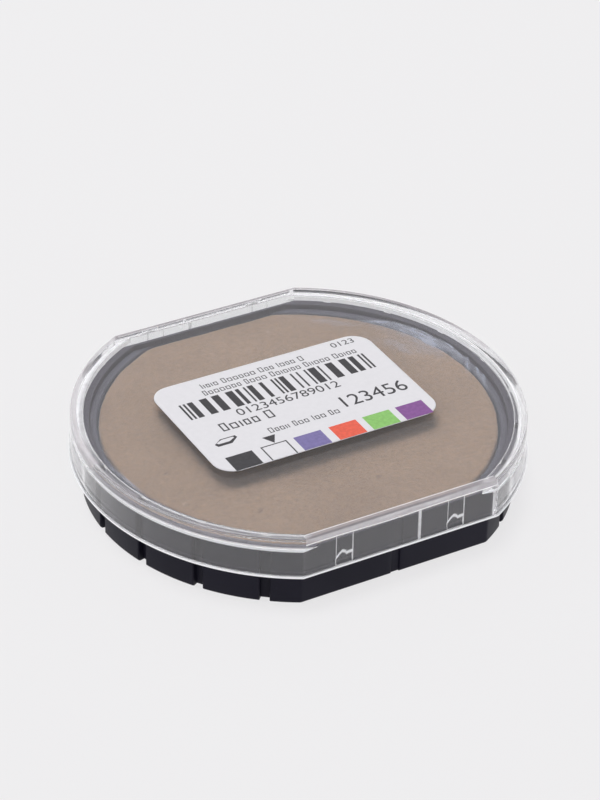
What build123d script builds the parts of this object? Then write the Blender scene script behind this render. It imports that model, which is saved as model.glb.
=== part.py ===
"""Round ink pad with two parallel flats, in a moulded tray under a clear snap-on cover.

Millimetres, +Z up, +X along the flats. The origin is the middle of the underside of the tray,
on the surface that the tray stands on.
"""

import os

from build123d import *

os.makedirs("parts", exist_ok=True)

# ---------------------------------------------------------------- driving dimensions (mm)
# Tray: a shallow cup, round with two flats, with upright grooves down its outside.
tray_radius = 24.26
tray_half_width = 21.35
tray_height = 7.35
tray_floor = 1.3
tray_corner = 0.7
tray_edge = 0.35
rim_edge = 0.2
rim_width = 1.1
side_wall = 0.45
shelf_width = 0.8
groove_width = 1.05
groove_depth = 0.7
groove_pitch = 17.5
grooves_per_side = 7
recess_depth = 0.45
resting_ring = 3.4
recess_ribs = 4
rib_width = 0.8
corner_notch_width = 0.55
corner_notch_height = 1.1
corner_notch_depth = 0.4
corner_notch_bottom = 2.1

# Pad: a felt reservoir with a fine felt face on it, and a loose clear film on top.
pad_clearance = 0.15
face_thickness = 1.2
face_below_rim = 0.65
pad_corner = 4.0
film_thickness = 0.1
film_clearance = 0.1

# Cover: a clear shallow cap, with a ledge inside each round side that seats on the tray's rim.
cover_clearance = 0.35
cover_wall = 0.75
cover_plate = 0.98
cover_gap = 0.77
cover_overlap = 3.18
cover_draft = 1.2
flange_height = 0.26
flange_proud = 0.2
ledge_seat = 0.36
ledge_clearance = 0.07
cover_corner = 0.45
cover_edge = 0.3
ceiling_fillet = 0.25

# Snap bumps inside the flat walls of the cover.
clip_spacing = 13.66
clip_width = 2.0
clip_panel = 0.08
bump_depth = 0.22
bump_height = 1.5
bump_above_edge = 0.25
seam_rib_x = 2.35
seam_rib_width = 0.3
seam_rib_depth = 0.14

# Label, stuck on top of the cover.
label_length = 27.6
label_width = 18.1
label_thickness = 0.1
label_corner = 2.4
label_x = -0.16
label_y = 0.67

# ---------------------------------------------------------------- sizes that follow
pocket_radius = tray_radius - rim_width - shelf_width
pocket_half_width = tray_half_width - side_wall
shelf_radius = tray_radius - rim_width
pad_top = tray_height - face_below_rim
face_bottom = pad_top - face_thickness
pad_radius = pocket_radius - pad_clearance
pad_half_width = pocket_half_width - pad_clearance
film_radius = shelf_radius - film_clearance
film_half_width = pocket_half_width - film_clearance

cavity_radius = tray_radius + cover_clearance
cavity_half_width = tray_half_width + cover_clearance
cover_radius = cavity_radius + cover_wall
cover_half_width = cavity_half_width + cover_wall
cover_bottom = tray_height - cover_overlap
ceiling = tray_height + cover_gap
plate_top = ceiling + cover_plate
ledge_bottom = tray_height + ledge_clearance
ledge_radius = tray_radius - ledge_seat
clip_height = ceiling - cover_bottom - bump_above_edge


def flatted_circle(sketch, radius, half_width, corner):
    """Draw a circle cut by two flats parallel to X, with its four corners rounded."""
    Circle(radius)
    Rectangle(2 * radius + 2, 2 * half_width, mode=Mode.INTERSECT)
    fillet(sketch.vertices(), corner)


# ---------------------------------------------------------------- base tray
groove_start = -groove_pitch * (grooves_per_side - 1) / 2

with BuildPart() as base_tray:
    with BuildSketch() as tray_outline:
        flatted_circle(tray_outline, tray_radius, tray_half_width, tray_corner)
    extrude(amount=tray_height)
    fillet(base_tray.faces().sort_by(Axis.Z)[-1].edges(), rim_edge)
    chamfer(base_tray.faces().sort_by(Axis.Z)[0].edges(), tray_edge)

    # The pocket for the pad, and the shelf around its mouth on the round sides.
    with BuildSketch(Plane.XY.offset(tray_floor)) as pocket_outline:
        flatted_circle(pocket_outline, pocket_radius, pocket_half_width, pad_corner)
    extrude(amount=tray_height, mode=Mode.SUBTRACT)
    with BuildSketch(Plane.XY.offset(pad_top)) as shelf_outline:
        flatted_circle(shelf_outline, shelf_radius, pocket_half_width, tray_corner)
    extrude(amount=tray_height, mode=Mode.SUBTRACT)

    # Upright grooves: a fan on each round side, and one in the middle of each flat.
    for side_angle in (0, 180):
        with BuildSketch() as side_grooves:
            with PolarLocations(
                tray_radius,
                grooves_per_side,
                start_angle=side_angle + groove_start,
                angular_range=groove_pitch * (grooves_per_side - 1),
                endpoint=True,
            ):
                Rectangle(2 * groove_depth, groove_width)
        extrude(amount=tray_height, mode=Mode.SUBTRACT)
    with BuildSketch() as flat_grooves:
        with GridLocations(1, 2 * tray_half_width, 1, 2):
            Rectangle(groove_width, side_wall)
    extrude(amount=tray_height - cover_overlap, mode=Mode.SUBTRACT)

    # A small moulding notch beside each end of each flat.
    notch_x = (tray_radius**2 - tray_half_width**2) ** 0.5 - tray_corner
    with BuildSketch(Plane.XY.offset(corner_notch_bottom)) as corner_notches:
        with GridLocations(2 * notch_x, 2 * tray_half_width, 2, 2):
            Rectangle(corner_notch_width, 2 * corner_notch_depth)
    extrude(amount=corner_notch_height, mode=Mode.SUBTRACT)

    # The underside: a shallow recess inside a resting ring, crossed by stiffening ribs.
    with BuildSketch() as recess:
        flatted_circle(
            recess, tray_radius - resting_ring, tray_half_width - resting_ring, tray_corner
        )
        with GridLocations(2 * tray_radius / (recess_ribs + 1), 1, recess_ribs, 1):
            Rectangle(rib_width, 2 * tray_radius, mode=Mode.SUBTRACT)
    extrude(amount=recess_depth, mode=Mode.SUBTRACT)

base_tray.part.label = "base_tray"
export_step(base_tray.part, "parts/base_tray.step")

# ---------------------------------------------------------------- pad
with BuildPart() as pad_core:
    with BuildSketch(Plane.XY.offset(tray_floor)) as core_outline:
        flatted_circle(core_outline, pad_radius, pad_half_width, pad_corner)
    extrude(amount=face_bottom - tray_floor)

pad_core.part.label = "pad_core"
export_step(pad_core.part, "parts/pad_core.step")

with BuildPart() as pad_face:
    with BuildSketch(Plane.XY.offset(face_bottom)) as face_outline:
        flatted_circle(face_outline, pad_radius, pad_half_width, pad_corner)
    extrude(amount=face_thickness)

pad_face.part.label = "pad_face"
export_step(pad_face.part, "parts/pad_face.step")

with BuildPart() as separator_film:
    with BuildSketch(Plane.XY.offset(pad_top)) as film_outline:
        flatted_circle(film_outline, film_radius, film_half_width, pad_corner)
    extrude(amount=film_thickness)

separator_film.part.label = "separator_film"
export_step(separator_film.part, "parts/separator_film.step")

# ---------------------------------------------------------------- cover
with BuildPart() as cover:
    # The outside: a drafted cap with a flange at its mouth.
    with BuildSketch(Plane.XY.offset(cover_bottom)) as cover_outline:
        flatted_circle(cover_outline, cover_radius, cover_half_width, cover_corner)
    extrude(amount=plate_top - cover_bottom, taper=cover_draft)
    fillet(cover.faces().sort_by(Axis.Z)[-1].edges(), cover_edge)

    with BuildSketch(Plane.XY.offset(cover_bottom)) as flange_outline:
        flatted_circle(
            flange_outline,
            cover_radius + flange_proud,
            cover_half_width + flange_proud / 2,
            cover_corner,
        )
    extrude(amount=flange_height)

    # The cavity that drops over the tray.
    with BuildSketch(Plane.XY.offset(cover_bottom)) as cavity_outline:
        flatted_circle(cavity_outline, cavity_radius, cavity_half_width, cover_corner)
    extrude(amount=ceiling - cover_bottom, mode=Mode.SUBTRACT)
    ceiling_face = cover.faces().filter_by_position(Axis.Z, ceiling - 0.01, ceiling + 0.01)
    fillet(ceiling_face.edges(), ceiling_fillet)

    # A ledge inside each round side, which seats on the tray's rim and ends at the flat walls.
    with BuildSketch(Plane.XY.offset(ledge_bottom)) as ledges:
        flatted_circle(
            ledges,
            cavity_radius + cover_wall / 2,
            cavity_half_width + cover_wall / 2,
            cover_corner,
        )
        Circle(ledge_radius, mode=Mode.SUBTRACT)
    extrude(amount=plate_top - cover_plate / 2 - ledge_bottom)

    # Two snap bumps in each flat wall, each at the foot of a slightly raised panel.
    for wall_side in (-1, 1):
        wall_y = wall_side * cavity_half_width
        with BuildSketch(Plane.XY.offset(cover_bottom + bump_above_edge)) as clip_panels:
            with Locations((0, wall_y)):
                with GridLocations(clip_spacing, 1, 2, 1):
                    Rectangle(clip_width, 2 * clip_panel)
        extrude(amount=clip_height)
        bump_middle = cover_bottom + bump_above_edge + bump_height / 2
        with Locations((0, wall_y, bump_middle)):
            with GridLocations(clip_spacing, 1, 2, 1):
                Box(clip_width, 2 * bump_depth, bump_height)
        # One slender rib beside the middle of the wall.
        with BuildSketch(Plane.XY.offset(cover_bottom + bump_above_edge)) as seam_rib:
            with Locations((-wall_side * seam_rib_x, wall_y)):
                Rectangle(seam_rib_width, 2 * seam_rib_depth)
        extrude(amount=clip_height)

cover.part.label = "cover"
export_step(cover.part, "parts/cover.step")

# ---------------------------------------------------------------- label
with BuildPart() as cover_label:
    with BuildSketch(Plane.XY.offset(plate_top)) as label_outline:
        with Locations((label_x, label_y)):
            RectangleRounded(label_length, label_width, label_corner)
    extrude(amount=label_thickness)

cover_label.part.label = "cover_label"
export_step(cover_label.part, "parts/cover_label.step")
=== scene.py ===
"""Looks for a round ink pad in a moulded tray, under a clear snap-on cover with a paper label.

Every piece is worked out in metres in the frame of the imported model, +Z up, with the origin in the
middle of the tray's underside. The tray, pad, film, cover and label each have a class of their own.
"""

import logging
import math
from collections.abc import Callable
from dataclasses import dataclass, field
from enum import Enum

import bmesh
import bpy
import numpy as np
from mathutils import Matrix, Vector


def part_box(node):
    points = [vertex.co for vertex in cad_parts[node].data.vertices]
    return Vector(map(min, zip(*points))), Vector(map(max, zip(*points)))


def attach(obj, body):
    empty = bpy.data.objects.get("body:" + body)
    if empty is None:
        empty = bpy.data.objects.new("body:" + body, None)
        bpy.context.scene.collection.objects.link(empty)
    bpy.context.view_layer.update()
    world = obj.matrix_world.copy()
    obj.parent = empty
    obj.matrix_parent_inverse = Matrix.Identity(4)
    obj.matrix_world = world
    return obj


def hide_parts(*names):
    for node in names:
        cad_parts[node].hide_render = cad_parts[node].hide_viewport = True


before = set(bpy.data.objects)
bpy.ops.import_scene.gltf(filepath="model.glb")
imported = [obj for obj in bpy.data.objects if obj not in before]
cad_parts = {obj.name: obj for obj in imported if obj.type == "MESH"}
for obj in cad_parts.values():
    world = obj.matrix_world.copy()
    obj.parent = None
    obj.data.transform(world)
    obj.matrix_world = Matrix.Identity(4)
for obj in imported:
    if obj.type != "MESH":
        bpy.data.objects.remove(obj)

LOG = logging.getLogger("ink_pad")
MM = 0.001
SHARP_ANGLE = math.radians(38)  # edges sharper than this stay crisp
MERGE_DISTANCE = 1e-7  # points closer than this become one
LATTICE = 256  # random numbers along each side of the noise's lattice
EDGE_CIRCLE = 40 * MM  # where the noise of a cut edge is read
MIX_UNDER, MIX_OVER, MIX_RESULT = 6, 7, 2  # the colour sockets of a Mix node

Colour = tuple[float, float, float]
Place = tuple[float, float, float]


class Body(Enum):
    """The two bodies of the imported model."""

    TRAY = "tray"
    COVER = "cover"


class Slot(Enum):
    """The material slots of the record."""

    TRAY = "tray_plastic"
    CORE = "felt_core"
    FACE = "felt_face"
    FILM = "clear_film"
    COVER = "clear_plastic"
    LABEL = "label_paper"


class Ink(Enum):
    """What a printed patch on the label is printed with."""

    BLACK = "black"
    VIOLET = "violet"
    RED = "red"
    GREEN = "green"
    PURPLE = "purple"


# ---------------------------------------------------------------------------- outlines and meshes
@dataclass(frozen=True)
class Stations:
    """Places around a flatted circle, the same for every ring of one piece.

    Attributes:
        arc: Shares of a round side's half angle, from -1 to 1.
        corner: Shares of a corner's turn, between 0 and 1.
        flat: Shares of a flat's half length, from 1 to -1.
    """

    arc: np.ndarray
    corner: np.ndarray
    flat: np.ndarray

    @property
    def count(self) -> int:
        """How many points one ring has."""
        return 2 * len(self.arc) + 2 * len(self.flat) + 4 * len(self.corner)

    def flat_mask(self) -> np.ndarray:
        """True at the points that lie on either flat."""
        arc, corner, flat = len(self.arc), len(self.corner), len(self.flat)
        return np.tile(np.repeat((False, False, True, False), (arc, corner, flat, corner)), 2)


def make_stations(
    arc_count: int,
    flat_count: int,
    corner_count: int = 6,
    arc_knots: tuple[float, ...] = (),
    flat_knots: tuple[float, ...] = (),
) -> Stations:
    """Spread stations evenly, and add knots where an edge has to be.

    Args:
        arc_count: Even stations on each round side.
        flat_count: Even stations on each flat.
        corner_count: Stations inside each rounded corner.
        arc_knots: Extra shares of the half angle.
        flat_knots: Extra shares of the half length.

    Returns:
        The stations, each list sorted and without doubles.
    """
    def spread(count: int, knots: tuple[float, ...]) -> np.ndarray:
        """Even shares from -1 to 1 with the knots among them, in order."""
        return np.unique(np.round(np.concatenate([np.linspace(-1, 1, count), knots]), 7))

    corner = np.linspace(0, 1, corner_count + 2)[1:-1]
    return Stations(spread(arc_count, arc_knots), corner, spread(flat_count, flat_knots)[::-1])


@dataclass(frozen=True)
class Outline:
    """A circle cut by two flats parallel to X, with its four corners rounded."""

    radius: float
    half_width: float
    corner: float

    def middle_of_corner(self) -> tuple[float, float]:
        """The middle of the corner arc that touches both the circle and the flat."""
        y = self.half_width - self.corner
        return math.sqrt((self.radius - self.corner) ** 2 - y**2), y

    def half_angle(self) -> float:
        """The angle from +X at which the round side ends and the corner begins."""
        x, y = self.middle_of_corner()
        return math.atan2(y, x)

    def points(self, stations: Stations) -> np.ndarray:
        """The outline's points, anticlockwise from the start of the right-hand round side.

        Each round side is the radius turned through the arc shares of the half angle, each corner
        is its own radius turned from the half angle to a right angle, and each flat runs straight.

        Args:
            stations: Where the outline has its points.

        Returns:
            An array of stations.count rows of x and y.
        """
        x, y = self.middle_of_corner()
        end = self.half_angle()
        turn = math.pi / 2 - end

        def around(cx: float, cy: float, radius: float, angle: np.ndarray) -> np.ndarray:
            """An arc's points: its middle plus its radius turned by each angle."""
            return np.stack([cx + radius * np.cos(angle), cy + radius * np.sin(angle)], 1)

        level = np.full(len(stations.flat), self.half_width)
        return np.concatenate([
            around(0, 0, self.radius, stations.arc * end),
            around(x, y, self.corner, end + stations.corner * turn),
            np.stack([stations.flat * x, level], 1),
            around(-x, y, self.corner, math.pi / 2 + stations.corner * turn),
            around(0, 0, self.radius, math.pi + stations.arc * end),
            around(-x, -y, self.corner, math.pi + end + stations.corner * turn),
            np.stack([-stations.flat * x, -level], 1),
            around(x, -y, self.corner, -math.pi / 2 + stations.corner * turn),
        ])


@dataclass(frozen=True)
class Ring:
    """One closed ring of a lofted shell: an outline, its height, and how its points are shifted.

    Attributes:
        outline: The flatted circle that it follows.
        height: Its height, one number or one for each point.
        inward: How far each point is pushed towards the middle.
        within: The radius that no point goes beyond.
        scuff_and_highlight: From 0 to 1, how scuffed the surface is there and how much a painted
            highlight lightens it.
        milk: How milky the plastic is there, from 0 to 1.
    """

    outline: Outline
    height: float | np.ndarray
    inward: float | np.ndarray = 0.0
    within: float = math.inf
    scuff_and_highlight: float | np.ndarray = 0.0
    milk: float | np.ndarray = 0.0

    def points(self, stations: Stations) -> np.ndarray:
        """The ring's points.

        Each point is pushed inwards along the outline's normal, and then, if it is still further
        out than the limit, straight towards the middle until it is within it.

        Args:
            stations: Where the ring has its points.

        Returns:
            Rows of x, y and z.
        """
        flat = self.outline.points(stations)
        ahead = np.roll(flat, -1, 0) - np.roll(flat, 1, 0)
        normal = np.stack([ahead[:, 1], -ahead[:, 0]], 1)
        normal /= np.linalg.norm(normal, axis=1, keepdims=True)
        flat = flat - normal * np.broadcast_to(self.inward, len(flat))[:, None]
        flat *= np.minimum(1.0, self.within / np.linalg.norm(flat, axis=1))[:, None]
        return np.column_stack([flat, np.broadcast_to(self.height, len(flat))])


def quarter_turn(steps: int) -> np.ndarray:
    """Angles from 0 to a right angle, for the profile of a rounded edge."""
    return np.linspace(0, math.pi / 2, steps)


def mesh_piece(name: str, points: np.ndarray, faces: list[list[int]],
               marks: dict[str, np.ndarray] | None = None) -> bpy.types.Object:
    """Make a smooth-shaded mesh object at the origin, with its faces turned outwards.

    Args:
        name: The piece's name.
        points: Rows of x, y and z in metres.
        faces: Lists of point numbers.
        marks: Named values for each point, kept as attributes for the materials.

    Returns:
        The new object, linked to the scene.
    """
    mesh = bpy.data.meshes.new(name)
    mesh.from_pydata(points.tolist(), [], faces)
    for mark, values in (marks or {}).items():
        attribute = mesh.attributes.new(mark, "FLOAT", "POINT")
        attribute.data.foreach_set("value", np.asarray(values, np.float32).ravel())
    work = bmesh.new()
    work.from_mesh(mesh)
    bmesh.ops.remove_doubles(work, verts=work.verts, dist=MERGE_DISTANCE)
    bmesh.ops.recalc_face_normals(work, faces=work.faces)
    work.to_mesh(mesh)
    work.free()
    mesh.update()
    mesh.polygons.foreach_set("use_smooth", np.ones(len(mesh.polygons), bool))
    mesh.set_sharp_from_angle(angle=SHARP_ANGLE)
    piece = bpy.data.objects.new(name, mesh)
    bpy.context.scene.collection.objects.link(piece)
    return piece


def grid_faces(rows: int, columns: int) -> list[list[int]]:
    """Quads between neighbouring rows of a grid whose columns close on themselves.

    A face joins a point to the next one in its row, and both to the same two of the next row.

    Args:
        rows: How many rows of points.
        columns: How many points in each row.

    Returns:
        A list of (rows - 1) * columns quads.
    """
    row, column = np.meshgrid(np.arange(rows - 1), np.arange(columns), indexing="ij")
    here, after = row * columns + column, row * columns + (column + 1) % columns
    return np.stack([here, after, after + columns, here + columns], -1).reshape(-1, 4).tolist()


def row_face(row: int, columns: int) -> list[int]:
    """One face over a whole row of a grid."""
    return list(range(row * columns, (row + 1) * columns))


def capped_grid(rows: int, columns: int) -> list[list[int]]:
    """The quads of a grid, with one face over its first row and one over its last."""
    return grid_faces(rows, columns) + [row_face(0, columns), row_face(rows - 1, columns)]


def lofted_shell(name: str, rings: list[Ring], stations: Stations) -> bpy.types.Object:
    """A closed shell through a list of rings, with a flat cap over the first and the last.

    Args:
        name: The piece's name.
        rings: The rings in order along the profile.
        stations: Where each ring has its points.

    Returns:
        The shell as one piece.
    """
    points = np.concatenate([ring.points(stations) for ring in rings])
    marks = {mark: np.concatenate([np.broadcast_to(getattr(ring, mark), stations.count)
                                   for ring in rings]) for mark in ("scuff_and_highlight", "milk")}
    return mesh_piece(name, points, capped_grid(len(rings), stations.count), marks)


def value_noise(x: np.ndarray, y: np.ndarray, cell: float, seed: int) -> np.ndarray:
    """Smooth random heights from -1 to 1 over a plane.

    Random numbers on a square lattice are blended by the smooth step 3t^2 - 2t^3 of the place
    between the four lattice points around it.

    Args:
        x: Places along X.
        y: Places along Y.
        cell: The lattice's spacing.
        seed: Which lattice.

    Returns:
        One height for each place.
    """
    lattice = np.random.default_rng(seed).uniform(-1, 1, (LATTICE, LATTICE))
    u, v = x / cell, y / cell
    i, j = np.floor(u).astype(int), np.floor(v).astype(int)
    s, t = u - i, v - j
    s, t = s * s * (3 - 2 * s), t * t * (3 - 2 * t)

    def at(a: np.ndarray, b: np.ndarray) -> np.ndarray:
        """The random numbers at some points of the lattice, which repeats."""
        return lattice[a % LATTICE, b % LATTICE]

    low = at(i, j) * (1 - s) + at(i + 1, j) * s
    high = at(i, j + 1) * (1 - s) + at(i + 1, j + 1) * s
    return low * (1 - t) + high * t


def edge_noise(points: np.ndarray, cell: float, seed: int) -> np.ndarray:
    """Smooth random heights from -1 to 1 around an outline, without a seam.

    Each point is carried straight from the middle onto the edge circle, and the noise read there.

    Args:
        points: Rows of x and y.
        cell: The spacing of the noise's lattice.
        seed: Which lattice.

    Returns:
        One height for each point.
    """
    angle = np.arctan2(points[:, 1], points[:, 0])
    return value_noise(EDGE_CIRCLE * np.cos(angle), EDGE_CIRCLE * np.sin(angle), cell, seed)


def pushed_out(points: np.ndarray, shift: np.ndarray) -> np.ndarray:
    """Points moved straight away from the middle, each by its own distance."""
    size = np.linalg.norm(points, axis=1)
    return points * ((size + shift) / size)[:, None]


# ---------------------------------------------------------------------------- finishes
def new_material(name: str) -> tuple[bpy.types.Material, bpy.types.NodeTree, bpy.types.Node]:
    """A node material with one Principled shader.

    Args:
        name: The material's name.

    Returns:
        The material, its node tree and the Principled node.
    """
    material = bpy.data.materials.new(name)
    material.use_nodes = True
    return material, material.node_tree, material.node_tree.nodes["Principled BSDF"]


def noise(tree: bpy.types.NodeTree, scale: float, detail: float = 4.0,
          stretch: Place = (1, 1, 1)) -> bpy.types.NodeSocket:
    """A noise pattern on Object coordinates.

    Args:
        tree: Where to add it.
        scale: Waves for each metre.
        detail: Octaves.
        stretch: How the pattern's scale is multiplied along each axis.

    Returns:
        The pattern's value.
    """
    place = tree.nodes.new("ShaderNodeTexCoord")
    mapping = tree.nodes.new("ShaderNodeMapping")
    mapping.inputs["Scale"].default_value = stretch
    pattern = tree.nodes.new("ShaderNodeTexNoise")
    pattern.inputs["Scale"].default_value = scale
    pattern.inputs["Detail"].default_value = detail
    tree.links.new(place.outputs["Object"], mapping.inputs["Vector"])
    tree.links.new(mapping.outputs["Vector"], pattern.inputs["Vector"])
    return pattern.outputs["Fac"]


def ramp(tree: bpy.types.NodeTree, value: bpy.types.NodeSocket,
         stops: tuple[tuple[float, Colour], ...]) -> bpy.types.NodeSocket:
    """A colour ramp.

    Args:
        tree: Where to add it.
        value: What drives it.
        stops: Pairs of position and colour, in order.

    Returns:
        The colour.
    """
    node = tree.nodes.new("ShaderNodeValToRGB")
    while len(node.color_ramp.elements) < len(stops):
        node.color_ramp.elements.new(0.5)
    for element, (position, colour) in zip(node.color_ramp.elements, stops):
        element.position = position
        element.color = (*colour, 1)
    tree.links.new(value, node.inputs["Fac"])
    return node.outputs["Color"]


def scaled(tree: bpy.types.NodeTree, value: bpy.types.NodeSocket, low: float,
           high: float) -> bpy.types.NodeSocket:
    """A value from 0 to 1 carried onto another range.

    Args:
        tree: Where to add it.
        value: The value.
        low: What 0 becomes.
        high: What 1 becomes.

    Returns:
        The new value.
    """
    node = tree.nodes.new("ShaderNodeMapRange")
    node.inputs["To Min"].default_value = low
    node.inputs["To Max"].default_value = high
    tree.links.new(value, node.inputs["Value"])
    return node.outputs["Result"]


def bumped(tree: bpy.types.NodeTree, height: bpy.types.NodeSocket, depth: float,
           under: bpy.types.NodeSocket | None = None) -> bpy.types.NodeSocket:
    """A bump, over an optional coarser one.

    Args:
        tree: Where to add it.
        height: Its height, from 0 to 1.
        depth: The full height in metres.
        under: The coarser bump.

    Returns:
        The bumped normal.
    """
    node = tree.nodes.new("ShaderNodeBump")
    node.inputs["Distance"].default_value = depth
    tree.links.new(height, node.inputs["Height"])
    if under is not None:
        tree.links.new(under, node.inputs["Normal"])
    return node.outputs["Normal"]


def attribute(tree: bpy.types.NodeTree, name: str) -> bpy.types.NodeSocket:
    """The value of one of the piece's own attributes.

    Args:
        tree: Where to add it.
        name: The attribute's name.

    Returns:
        The value.
    """
    node = tree.nodes.new("ShaderNodeAttribute")
    node.attribute_name = name
    return node.outputs["Fac"]


def multiplied(tree: bpy.types.NodeTree, value: bpy.types.NodeSocket,
               factor: bpy.types.NodeSocket, added: float = 0.0) -> bpy.types.NodeSocket:
    """One value times another, plus a number.

    Args:
        tree: Where to add it.
        value: The first value.
        factor: The second value.
        added: The number.

    Returns:
        The new value.
    """
    node = tree.nodes.new("ShaderNodeMath")
    node.operation = "MULTIPLY_ADD"
    tree.links.new(value, node.inputs[0])
    tree.links.new(factor, node.inputs[1])
    node.inputs[2].default_value = added
    return node.outputs["Value"]


def mixed(tree: bpy.types.NodeTree, share: bpy.types.NodeSocket | float,
          under: bpy.types.NodeSocket, over: bpy.types.NodeSocket | Colour,
          kind: str = "MIX") -> bpy.types.NodeSocket:
    """One colour laid over another.

    Args:
        tree: Where to add it.
        share: How much of the upper colour.
        under: The lower colour.
        over: The upper colour.
        kind: Blender's name for how the two combine.

    Returns:
        The new colour.
    """
    node = tree.nodes.new("ShaderNodeMix")
    node.data_type = "RGBA"
    node.blend_type = kind
    if isinstance(share, float):
        node.inputs["Factor"].default_value = share
    else:
        tree.links.new(share, node.inputs["Factor"])
    if isinstance(over, tuple):
        node.inputs[MIX_OVER].default_value = (*over, 1)
    else:
        tree.links.new(over, node.inputs[MIX_OVER])
    tree.links.new(under, node.inputs[MIX_UNDER])
    return node.outputs[MIX_RESULT]


def laid_over(tree: bpy.types.NodeTree, share: bpy.types.NodeSocket, under: bpy.types.NodeSocket,
              over: bpy.types.NodeSocket) -> bpy.types.NodeSocket:
    """One shader laid over another.

    Args:
        tree: Where to add it.
        share: How much of the upper shader.
        under: The lower shader.
        over: The upper shader.

    Returns:
        The new shader.
    """
    node = tree.nodes.new("ShaderNodeMixShader")
    for socket, source in zip(node.inputs, (share, under, over)):
        tree.links.new(source, socket)
    return node.outputs["Shader"]


@dataclass(frozen=True)
class MouldedBlack:
    """Black moulded plastic with a fine spark-eroded grain, made paler by a painted sheen where the
    scuff_and_highlight attribute says.
    """

    dark: Colour = (0.0085, 0.0080, 0.0160)
    light: Colour = (0.0135, 0.0128, 0.0225)
    painted_sheen: Colour = (0.070, 0.066, 0.083)
    drift_waves: float = 120.0
    grain_waves: float = 5200.0
    grain_depth: float = 0.012 * MM
    roughness: tuple[float, float] = (0.3, 0.52)
    specular: float = 0.11

    def build(self) -> bpy.types.Material:
        """Colour that drifts a little, and a grain in roughness and bump.

        Returns:
            The material.
        """
        material, tree, shader = new_material("moulded_black")
        clean = ramp(tree, noise(tree, self.drift_waves), ((0.3, self.dark), (0.7, self.light)))
        # painted sheen: the rim's top and the faces inside it are made paler and bluer, standing in
        # for the sky's reflection there
        colour = mixed(tree, attribute(tree, "scuff_and_highlight"), clean, self.painted_sheen)
        tree.links.new(colour, shader.inputs["Base Color"])
        grain = noise(tree, self.grain_waves, 3.0)
        tree.links.new(scaled(tree, grain, *self.roughness), shader.inputs["Roughness"])
        tree.links.new(bumped(tree, grain, self.grain_depth), shader.inputs["Normal"])
        shader.inputs["Specular IOR Level"].default_value = self.specular
        return material


@dataclass(frozen=True)
class ClearPolystyrene:
    """Clear moulded plastic that bends light.

    The milk attribute clouds it, and the scuff_and_highlight attribute whitens it as a scuff does
    and lays a painted glow over it, a painted highlight on its edges. The painted_glow is how much
    that layer shines of itself, and lamp_share is how much of a lamp's light comes through.
    """

    tint: Colour = (0.985, 0.99, 0.995)
    ior: float = 1.58
    roughness: tuple[float, float] = (0.0, 0.05)
    lamp_share: Colour = (0.97, 0.97, 0.975)
    milk: Colour = (0.58, 0.54, 0.57)
    milk_range: tuple[float, float] = (0.85, 1.15)
    scuff_and_glow: Colour = (0.88, 0.88, 0.90)
    scuff_and_glow_range: tuple[float, float] = (0.8, 1.3)
    scuff_roughness: float = 0.35
    painted_glow: float = 0.16
    smear_waves: float = 900.0
    cloud_waves: float = 1400.0
    ripple_waves: float = 260.0
    ripple_depth: float = 0.004 * MM

    def build(self) -> bpy.types.Material:
        """Transmission with a faint ripple, milk and scuffs over it, and see-through for lamps.

        Returns:
            The material.
        """
        material, tree, shader = new_material("clear_polystyrene")
        shader.inputs["Base Color"].default_value = (*self.tint, 1)
        shader.inputs["Transmission Weight"].default_value = 1.0
        shader.inputs["IOR"].default_value = self.ior
        smears = noise(tree, self.smear_waves, 5.0, (1.0, 0.25, 1.0))
        tree.links.new(scaled(tree, smears, *self.roughness), shader.inputs["Roughness"])
        waves = noise(tree, self.ripple_waves, 2.0)
        tree.links.new(bumped(tree, waves, self.ripple_depth), shader.inputs["Normal"])
        cloud = noise(tree, self.cloud_waves, 3.0)
        surface = shader.outputs["BSDF"]
        # the scuff layer glows by painted_glow: a painted highlight on the edges, not a lamp
        for mark, colour, glow, uneven in (("milk", self.milk, 0.0, self.milk_range),
                                           ("scuff_and_highlight", self.scuff_and_glow, self.painted_glow, self.scuff_and_glow_range)):
            pale = tree.nodes.new("ShaderNodeBsdfPrincipled")
            pale.inputs["Base Color"].default_value = (*colour, 1)
            pale.inputs["Roughness"].default_value = self.scuff_roughness
            pale.inputs["Emission Color"].default_value = (*colour, 1)
            pale.inputs["Emission Strength"].default_value = glow
            share = multiplied(tree, attribute(tree, mark), scaled(tree, cloud, *uneven))
            surface = laid_over(tree, share, surface, pale.outputs["BSDF"])
        through = tree.nodes.new("ShaderNodeBsdfTransparent")
        through.inputs["Color"].default_value = (*self.lamp_share, 1)
        path = tree.nodes.new("ShaderNodeLightPath")
        surface = laid_over(tree, path.outputs["Is Shadow Ray"], surface, through.outputs["BSDF"])
        tree.links.new(surface, tree.nodes["Material Output"].inputs["Surface"])
        return material


@dataclass(frozen=True)
class ThinFilm:
    """Clear film, hazy where it is creased, where a painted reflection also stands in for the light
    the creases catch.
    """

    haze_and_painted_light: Colour = (0.50, 0.53, 0.63)
    roughness: float = 0.12
    shine: float = 0.06
    crease_range: tuple[float, float] = (0.31, 0.744)
    streak_waves: float = 1500.0

    def build(self) -> bpy.types.Material:
        """See-through film under a gloss, with the haze and painted reflection of the crease
        attribute mixed in.

        Returns:
            The material.
        """
        material, tree, shader = new_material("thin_film")
        shader.inputs["Roughness"].default_value = self.roughness
        shader.inputs["Base Color"].default_value = (*self.haze_and_painted_light, 1)
        through = tree.nodes.new("ShaderNodeBsdfTransparent")
        streaks = scaled(tree, noise(tree, self.streak_waves), *self.crease_range)
        # shine is a faint painted reflection over the whole film; the creases add more of it
        share = multiplied(tree, attribute(tree, "crease"), streaks, self.shine)
        surface = laid_over(tree, share, through.outputs["BSDF"], shader.outputs["BSDF"])
        tree.links.new(surface, tree.nodes["Material Output"].inputs["Surface"])
        return material


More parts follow.
